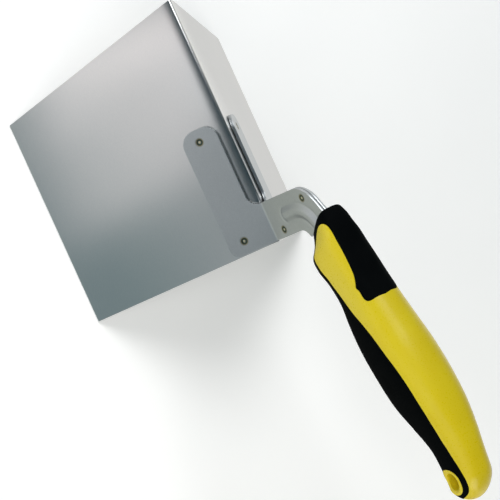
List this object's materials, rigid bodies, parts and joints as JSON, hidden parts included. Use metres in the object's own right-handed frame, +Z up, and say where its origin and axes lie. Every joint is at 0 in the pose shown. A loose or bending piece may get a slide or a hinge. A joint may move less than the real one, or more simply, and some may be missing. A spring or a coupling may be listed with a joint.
{
  "type": "corner trowel",
  "caption": "Plastering corner trowel: folded steel V blade, a two-part welded bracket on the fold's outside, and a cranked two-colour grip with a hang hole.",
  "frame": {"origin": "centre of the bounding box in X and Y, on the plane that the two wings' outer edges stand on", "axes": "+X along the ridge from the blade's toe to the handle, +Z up from the open side of the blade to the handle side, Y across, and the trowel mirrors in Y = 0"},
  "size_m": [0.2716, 0.1312, 0.1572],
  "materials": {
    "stainless_blade": "fine satin grain",
    "bracket_steel": "tumbled, slightly duller than the blade",
    "weld_steel": "heat-tinted spot weld",
    "yellow_plastic": "half gloss",
    "black_rubber": "matte, soft"
  },
  "bodies": {
    "root": {"blade": "stainless_blade", "left_bracket": "bracket_steel", "right_bracket": "bracket_steel", "left_toe_weld": "weld_steel", "right_toe_weld": "weld_steel", "left_heel_weld": "weld_steel", "right_heel_weld": "weld_steel", "web_low_weld": "weld_steel", "web_high_weld": "weld_steel", "handle_core": "yellow_plastic", "soft_grip": "black_rubber"}
  },
  "joints": []
}
